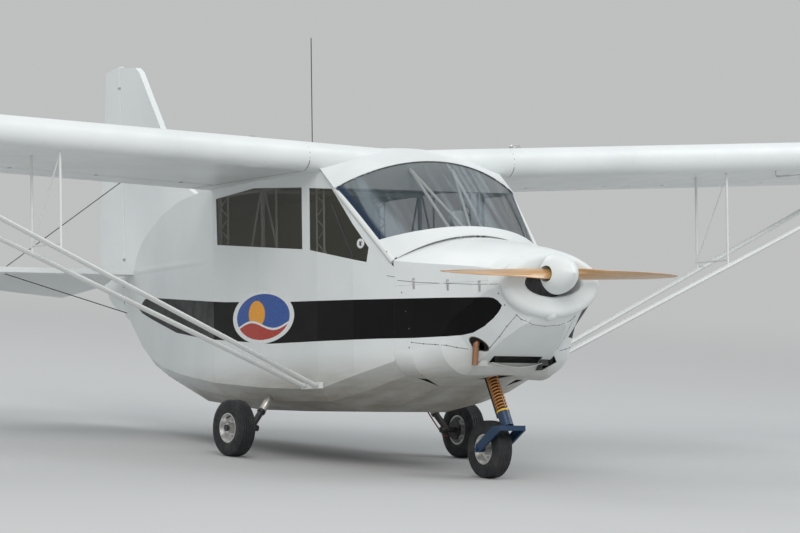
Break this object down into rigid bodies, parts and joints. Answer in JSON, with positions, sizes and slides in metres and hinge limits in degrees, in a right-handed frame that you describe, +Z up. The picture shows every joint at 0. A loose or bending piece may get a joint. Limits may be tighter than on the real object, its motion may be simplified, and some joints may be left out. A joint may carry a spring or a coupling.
{
  "type": "two-seat high-wing ultralight aircraft",
  "caption": "High-wing strut-braced ultralight with tractor propeller, hollow two-seat cabin, sprung nose wheel and hinged control surfaces.",
  "frame": {"origin": "on the ground under the middle of the aircraft's bounding box", "axes": "+Z up, +X towards the left wing tip, nose towards -Y"},
  "size_m": [9.7, 5.3212, 2.5913],
  "materials": {
    "white_fabric": "satin",
    "white_gelcoat": "gloss",
    "white_tube": "gloss",
    "window": "gloss",
    "windscreen": "gloss",
    "tyre": "matt",
    "rim": "satin",
    "black_steel": "satin",
    "blue_steel": "gloss",
    "spring": "gloss",
    "propeller": "gloss",
    "seat": "matt",
    "panel": "matt",
    "engine": "matt",
    "exhaust": "rusty",
    "wire": "satin"
  },
  "bodies": {
    "airframe": {"fuselage_skin": "white_fabric", "side_windows": "window", "pillars": "white_tube", "windscreen": "windscreen", "screen_band": "white_gelcoat", "screen_braces": "white_tube", "cowl_upper": "white_gelcoat", "cowl_lower": "white_gelcoat", "nose_bowl": "white_gelcoat", "scoop": "white_gelcoat", "air_duct": "black_steel", "belly_fairing": "white_gelcoat", "firewall": "rim", "wing_centre": "white_fabric", "hood": "white_gelcoat", "wing_left": "white_fabric", "wing_right": "white_fabric", "strut_front_left": "white_tube", "strut_front_right": "white_tube", "strut_rear_left": "white_tube", "strut_rear_right": "white_tube", "jury_strut_left": "white_tube", "jury_strut_right": "white_tube", "strut_roots": "white_tube", "fin": "white_fabric", "tailplane": "white_fabric", "tail_braces": "wire", "gear_left": "black_steel", "gear_right": "black_steel", "nose_leg": "black_steel", "nose_spring": "spring", "cabin_floor": "panel", "cabin_frame": "white_tube", "seat_left": "seat", "seat_right": "seat", "seat_bases": "panel", "instrument_panel": "panel", "compass": "panel", "control_stick": "black_steel", "engine_block": "engine", "engine_mount": "black_steel", "exhaust_pipe": "exhaust", "antenna": "wire"},
    "door": {"door_left": "white_fabric", "door_pane": "window"},
    "rudder": {"rudder": "white_fabric"},
    "elevator": {"elevator": "white_fabric"},
    "flap_left": {"flap_left": "white_fabric"},
    "flap_right": {"flap_right": "white_fabric"},
    "aileron_left": {"aileron_left": "white_fabric"},
    "aileron_right": {"aileron_right": "white_fabric"},
    "propeller": {"propeller": "propeller", "spinner": "white_gelcoat"},
    "wheel_left": {"tyre_left": "tyre", "rim_left": "rim"},
    "wheel_right": {"tyre_right": "tyre", "rim_right": "rim"},
    "nose_fork": {"nose_fork": "blue_steel"},
    "nose_wheel": {"tyre_nose": "tyre", "rim_nose": "rim"}
  },
  "joints": [
    {"name": "propeller_spin", "type": "hinge", "parent": "airframe", "child": "propeller", "pos_m": [0, -2.51355, 1.27759], "axis": [0, -0.9936, 0.1132], "continuous": true},
    {"name": "wheel_left_spin", "type": "hinge", "parent": "airframe", "child": "wheel_left", "pos_m": [0.859, -0.36254, 0.175], "axis": [1, 0, 0], "continuous": true},
    {"name": "wheel_right_spin", "type": "hinge", "parent": "airframe", "child": "wheel_right", "pos_m": [-0.859, -0.36254, 0.175], "axis": [1, 0, 0], "continuous": true},
    {"name": "nose_steer", "type": "hinge", "parent": "airframe", "child": "nose_fork", "pos_m": [0, -2.05926, 0.31799], "axis": [0, 0.5532, 0.8331], "range_deg": [-25, 25]},
    {"name": "nose_wheel_spin", "type": "hinge", "parent": "nose_fork", "child": "nose_wheel", "pos_m": [0, -1.8803, 0.175], "axis": [1, 0, 0], "continuous": true},
    {"name": "rudder_hinge", "type": "hinge", "parent": "airframe", "child": "rudder", "pos_m": [0, 2.27564, 0.71583], "axis": [0, 0.1471, 0.9891], "range_deg": [-25, 25]},
    {"name": "elevator_hinge", "type": "hinge", "parent": "airframe", "child": "elevator", "pos_m": [0, 2.27226, 0.96884], "axis": [1, 0, 0], "range_deg": [0, 43]},
    {"name": "aileron_left_hinge", "type": "hinge", "parent": "airframe", "child": "aileron_left", "pos_m": [3.5, 0.18471, 1.80278], "axis": [0.999, 0.0051, 0.0451], "range_deg": [-18, 22]},
    {"name": "flap_left_hinge", "type": "hinge", "parent": "airframe", "child": "flap_left", "pos_m": [1.565, 0.17476, 1.71547], "axis": [0.999, 0.0051, 0.0451], "range_deg": [-35, 0]},
    {"name": "aileron_right_hinge", "type": "hinge", "parent": "airframe", "child": "aileron_right", "pos_m": [-3.5, 0.18471, 1.80278], "axis": [0.999, -0.0051, -0.0451], "range_deg": [-18, 22]},
    {"name": "flap_right_hinge", "type": "hinge", "parent": "airframe", "child": "flap_right", "pos_m": [-1.565, 0.17476, 1.71547], "axis": [0.999, -0.0051, -0.0451], "range_deg": [-35, 0]},
    {"name": "door_hinge", "type": "hinge", "parent": "airframe", "child": "door", "pos_m": [0.667, -0.85765, 1.70388], "axis": [0, -0.9936, 0.1132], "range_deg": [0, 80]}
  ]
}
